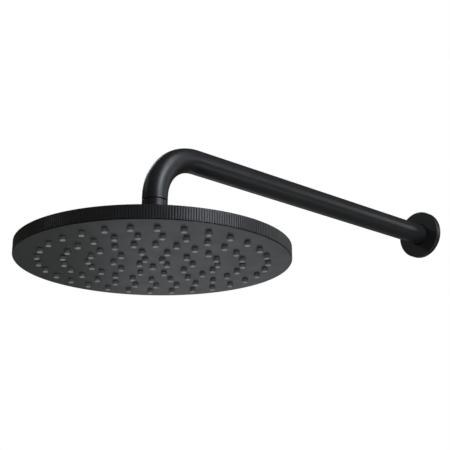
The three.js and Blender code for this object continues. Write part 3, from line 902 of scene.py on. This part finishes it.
# %% Turn and thread the socket
socket_low, socket_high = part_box("hub_socket")
SOCKET_LOW, SOCKET_TOP = above_face(socket_low.z), above_face(socket_high.z)
BARREL_R = 16.0
OUTLET_R = 8.4
COLLAR_R = 24.0
COLLAR_HIGH = 5.5
COLLAR_SLOPE = 0.3  # the collar's top rises this much from its edge to the barrel
bowl = arc(BALL_Z, SEAT_R, 3.9, -rise_to(OUTLET_R, SEAT_R), 16)
socket_profile = [
    *eased([(OUTLET_R, SOCKET_LOW), (COLLAR_R, SOCKET_LOW), (COLLAR_R, COLLAR_HIGH - COLLAR_SLOPE)],
           0.3, closed=False),
    (BARREL_R, COLLAR_HIGH), *thread_rows(BARREL_R, 6.0, SOCKET_TOP - 0.5),
    (BARREL_R - 0.5, SOCKET_TOP), *bowl]
socket = grown("socket", spun("socket_blank", socket_profile, 128), CUT_THREAD, BRASS,
               Pitch=1.5, Depth=0.8, Radius=BARREL_R, Low=6.5, High=SOCKET_TOP - 0.4)
into_scene("threaded_socket", socket, HEAD_PLACE, BRASS, "head", ["hub_socket"])

# %% [markdown]
# The seals are plain rings with soft corners. Their heights and outer sizes come from the frame, and
# only the inner radius is named here. The two ball seats are zones between two spheres, one round the
# ball and one in the socket and the nut.

# %% Turn the rings
RING_PIECES = (
    ("collar_washer", "connector_washer", 6.8, "arm", RUBBER, "black_rubber"),
    ("flow_limiter_insert", "flow_limiter", 2.0, "arm", ACETAL, "white_plastic"),
    ("socket_gasket", "hub_gasket", HUB_BORE, "head", RUBBER, "black_rubber"),
    ("shell_seal", "shell_washer", HUB_BORE, "head", RUBBER, "black_rubber"),
)
for name, node, inner, body, material, slot in RING_PIECES:
    low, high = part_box(node)
    outer = (high.x - low.x) / 2 / MM
    bottom, top = above_face(low.z), above_face(high.z)
    profile = eased([(inner, bottom), (outer, bottom), (outer, top), (inner, top)], 0.15)
    into_scene(name, spun(name, profile), HEAD_PLACE, material, body, [node])

SEAT_OUTER = SEAT_R - 0.3
SEAT_INNER = BALL_R + 0.2
for name, node, body, material, slot in (
    ("upper_seat_zone", "upper_ball_seat", "upper_seat", ACETAL, "white_plastic"),
    ("lower_seat_zone", "lower_ball_seat", "lower_seat", RUBBER, "black_rubber"),
):
    low, high = (above_face(corner.z) - BALL_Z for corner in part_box(node))
    outer = arc(BALL_Z, SEAT_OUTER, *(math.degrees(math.asin(h / SEAT_OUTER)) for h in (low, high)), 12)
    inner = arc(BALL_Z, SEAT_INNER, *(math.degrees(math.asin(h / SEAT_INNER)) for h in (high, low)), 12)
    into_scene(name, spun(name, outer + inner), HEAD_PLACE, material, body, [node])

# %% [markdown]
# ### Screws
#
# Twelve pan-head screws hold the inner plate to the face. They are all alike, so one is modelled,
# with a cross cut in its head, and a tree carries it to two rings of points.

# %% One screw
SCREW_CROWN = 1.7
SHANK_R = 1.2


def screw_mesh():
    """A pan-head screw about Z, with its seat at height 0 and a cross recess in its crown."""
    shank = SCREW_CROWN - spans("outer_plate_screw_1").z
    profile = eased([(0, shank), (0.5, shank), (SHANK_R, shank + 1.0), (SHANK_R, 0), (2.8, 0), (2.8, 0.8),
                     (1.9, 1.5), (0, SCREW_CROWN)], 0.25)
    holder = bpy.data.objects.new("screw", spun("screw", profile, 32))
    bpy.context.scene.collection.objects.link(holder)
    tools = []
    for turn in (0, 90):
        shape = bmesh.new()
        bmesh.ops.create_cube(shape, size=1)
        mesh = bpy.data.meshes.new("blade")
        shape.to_mesh(mesh)
        shape.free()
        mesh.transform(Matrix.Rotation(math.radians(turn), 4, "Z") @ Matrix.Diagonal((2.6, 0.5, 2.2, 1)))
        mesh.transform(Matrix.Translation((0, 0, SCREW_CROWN)))
        blade = bpy.data.objects.new("blade", mesh)
        bpy.context.scene.collection.objects.link(blade)
        cut = holder.modifiers.new("cross", "BOOLEAN")
        cut.object = blade
        tools.append(blade)
    bpy.context.view_layer.update()
    result = bpy.data.meshes.new_from_object(holder.evaluated_get(bpy.context.evaluated_depsgraph_get()))
    for tool in (*tools, holder):
        bpy.data.objects.remove(tool)
    return result


# %% The tree that places the screws
def screws_recipe():
    graph, given = recipe("screws on two rings", {
        "Outer count": "Int", "Outer radius": "Float", "Outer turn": "Float",
        "Inner count": "Int", "Inner radius": "Float", "Inner turn": "Float", "Height": "Float"})
    rings = []
    for which in ("Outer", "Inner"):
        circle = graph.add("GeometryNodeMeshCircle", sockets={
            "Vertices": given[f"{which} count"], "Radius": given[f"{which} radius"]})[0]
        turn = graph.add("ShaderNodeCombineXYZ", sockets={"Z": given[f"{which} turn"]})[0]
        lift = graph.add("ShaderNodeCombineXYZ", sockets={"Z": given["Height"]})[0]
        rings.append(graph.add("GeometryNodeTransform", sockets={
            "Geometry": circle, "Rotation": turn, "Translation": lift})[0])
    spots = graph.add("GeometryNodeJoinGeometry", sockets={0: rings})[0]
    copies = graph.add("GeometryNodeInstanceOnPoints", sockets={
        "Points": spots, "Instance": given["Geometry"]})[0]
    return serve(graph, given, copies, weld=0.0001)


# %% Place the screws
screw_nodes = sorted(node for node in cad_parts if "plate_screw" in node)
outer_nodes = [node for node in screw_nodes if node.startswith("outer")]
screw_top = above_face(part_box("outer_plate_screw_1")[1].z)
screws = grown(
    "screws", screw_mesh(), screws_recipe(), STEEL,
    Outer_count=len(outer_nodes), Outer_radius=112.5, Outer_turn=math.radians(6),
    Inner_count=len(screw_nodes) - len(outer_nodes), Inner_radius=FIRST_RING + 1.5 * RING_PITCH,
    Inner_turn=math.radians(45), Height=screw_top - SCREW_CROWN)
into_scene("plate_screws", screws, HEAD_PLACE, STEEL, "head", screw_nodes)

# %% [markdown]
# ## Solids that stay
#
# The inner plate and the filter are hidden, and their plain shapes are right, so they keep their
# solids and only get a finish. The filter is woven wire, so its finish is a weave.

# %% Dress the solids that stay
def woven_wire():
    def weave(graph, where):
        part = graph.add("ShaderNodeSeparateXYZ", sockets={"Vector": where})
        pitch = 2 * math.pi / (0.5 * MM)
        return ((part["X"] * pitch).math("SINE") * (part["Y"] * pitch).math("SINE")) * 4 + 4
    return finish("woven_wire", (0.5, 0.5, 0.51), 0.35, metallic=1.0, grain=0.2, bump=0.05, marks=weave)


for node, material in (("inner_plate", PLASTIC), ("filter_screen", woven_wire())):
    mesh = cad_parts[node].data
    mesh.materials.clear()
    mesh.materials.append(material)

# %% [markdown]
# ## The stage
#
# The floor is a plain pale disc well below the shower, as deep as a shower tray would be. The lamps
# are weak, because black needs only their reflections, and they would leave a plain floor dark. So
# the floor glows where the camera looks at it, and is an ordinary matt sheet for every other ray.

# %% Floor
FLOOR_DROP = 2.1
FLOOR_RADIUS = 40
bpy.ops.mesh.primitive_circle_add(
    vertices=96, radius=FLOOR_RADIUS, fill_type="NGON", location=(0, HEAD_AXIS_Y, -FLOOR_DROP))
floor = bpy.context.object
floor.name = "floor"
pale = bpy.data.materials.new("pale_floor")
pale.use_nodes = True
pale.node_tree.nodes.clear()
paint = Graph(pale.node_tree)
looked_at = paint.add("ShaderNodeLightPath")["Is Camera Ray"]
matt = paint.add("ShaderNodeBsdfDiffuse", sockets={"Color": (0.8, 0.8, 0.8, 1)})[0]
glow = paint.add("ShaderNodeEmission", sockets={"Color": (0.74, 0.75, 0.76, 1), "Strength": 1.0})[0]
blend = paint.add("ShaderNodeMixShader", sockets={0: looked_at, 1: matt, 2: glow})[0]
paint.add("ShaderNodeOutputMaterial", sockets={"Surface": blend})
floor.data.materials.append(pale)

# %% Camera
HEAD_CENTRE = Vector((0, HEAD_AXIS_Y, FACE_Z))
AZIMUTH, ELEVATION = math.radians(48.2), math.radians(-17.98)
DISTANCE = 0.869


def direction(azimuth, elevation):
    """A unit vector. Azimuth 0 is straight in front of the shower, and 90 degrees is +X."""
    level = math.cos(elevation)
    return Vector((math.sin(azimuth) * level, -math.cos(azimuth) * level, math.sin(elevation)))


back = direction(AZIMUTH, ELEVATION)
right = Vector((math.cos(AZIMUTH), math.sin(AZIMUTH), 0))
up = back.cross(right)
target = HEAD_CENTRE + right * 0.0646 + up * 0.0338
lens = bpy.data.cameras.new("camera")
lens.lens = 77.1
lens.sensor_width = 36
camera = bpy.data.objects.new("camera", lens)
turned = Matrix((right, up, back)).transposed().to_4x4()
camera.matrix_world = Matrix.Translation(target + back * DISTANCE) @ turned
bpy.context.scene.collection.objects.link(camera)
bpy.context.scene.camera = camera
print("camera at", [round(c, 3) for c in camera.location])


# %% [markdown]
# Matt black shows almost nothing but reflections, so each lamp has one job, and the surface that it
# draws decides where it hangs. A bearing is counted from the camera's own, to its right, and a height
# from level. A lamp 50 degrees to the right and above makes the band along the elbow. Four at a
# height of 15 draw the right half of the rim, which mirrors a new bearing at every point. One straight
# behind and below the head is mirrored by the flat face. One at the left throws the arm's shadow on
# the flange.

# %% Lamps
LAMPS = (  # name, bearing, height, power in watts, colour
    ("elbow_band", 50, 35, 13.0, (0.84, 0.91, 1)),
    ("elbow_band_left", 35, 35, 3.4, (0.92, 0.94, 1)),
    ("above", 50, 58, 5.0, (0.88, 0.94, 1)),
    ("neck_band", 20, -25, 4.4, (0.96, 1, 1)),
    ("rim_middle", 38, 15, 5.6, (0.85, 0.9, 1)),
    ("rim_right", 66, 15, 5.0, (0.85, 0.9, 1)),
    ("rim_side", 103, 15, 1.8, (0.9, 0.94, 1)),
    ("rim_end", 130, 15, 0.7, (0.92, 0.96, 1)),
    ("arm_underside", 85, -25, 1.3, (1, 1, 1)),
    ("nozzle_ends", 0, -80, 3.0, (0.96, 0.98, 1)),
    ("face_mirror", 180, -20, 0.7, (0.87, 0.92, 1)),
    ("face_mirror_right", 165, -20, 0.25, (0.94, 0.97, 1)),
    ("face_mirror_left", 195, -28, 0.3, (0.87, 1, 0.97)),
    ("flange_shadow", -95, 34, 1.0, (0.9, 0.97, 1)),
    ("left_low", -110, -30, 1.0, (1, 1, 0.85)),
    ("left_back", -135, 0, 1.0, (1, 1, 1)),
    ("elbow_edge", -150, 40, 4.8, (0.8, 0.87, 1)),
)
LAMP_DISTANCE = 2.0
LAMP_SIZE = 0.55


def hang(name, bearing, height, power, colour):
    """A soft square lamp that faces the head and stays out of the camera's sight."""
    towards = direction(AZIMUTH + math.radians(bearing), math.radians(height))
    lamp = bpy.data.lights.new(name, "AREA")
    lamp.shape = "SQUARE"
    lamp.size = LAMP_SIZE
    lamp.energy = power
    lamp.color = colour
    holder = bpy.data.objects.new(name, lamp)
    holder.location = HEAD_CENTRE + towards * LAMP_DISTANCE
    holder.rotation_euler = towards.to_track_quat("Z", "Y").to_euler()
    holder.visible_camera = False
    bpy.context.scene.collection.objects.link(holder)


for settings in LAMPS:
    hang(*settings)
print(len(LAMPS), "lamps")

# %% [markdown]
# The world is white where the camera looks straight at it, and a quiet grey for everything else. If
# it lit the shower in full, a black object would turn grey all over.

# %% World
world = bpy.data.worlds.new("studio")
bpy.context.scene.world = world
world.use_nodes = True
world.node_tree.nodes.clear()
sky = Graph(world.node_tree)
seen = sky.add("ShaderNodeLightPath")["Is Camera Ray"]
white = sky.add("ShaderNodeBackground", sockets={"Color": (1, 1, 1, 1), "Strength": 1.0})[0]
grey = sky.add("ShaderNodeBackground", sockets={"Color": (1, 0.95, 0.8, 1), "Strength": 0.062})[0]
both = sky.add("ShaderNodeMixShader", sockets={0: seen, 1: grey, 2: white})[0]
sky.add("ShaderNodeOutputWorld", sockets={"Surface": both})
bpy.context.scene.view_settings.view_transform = "Standard"
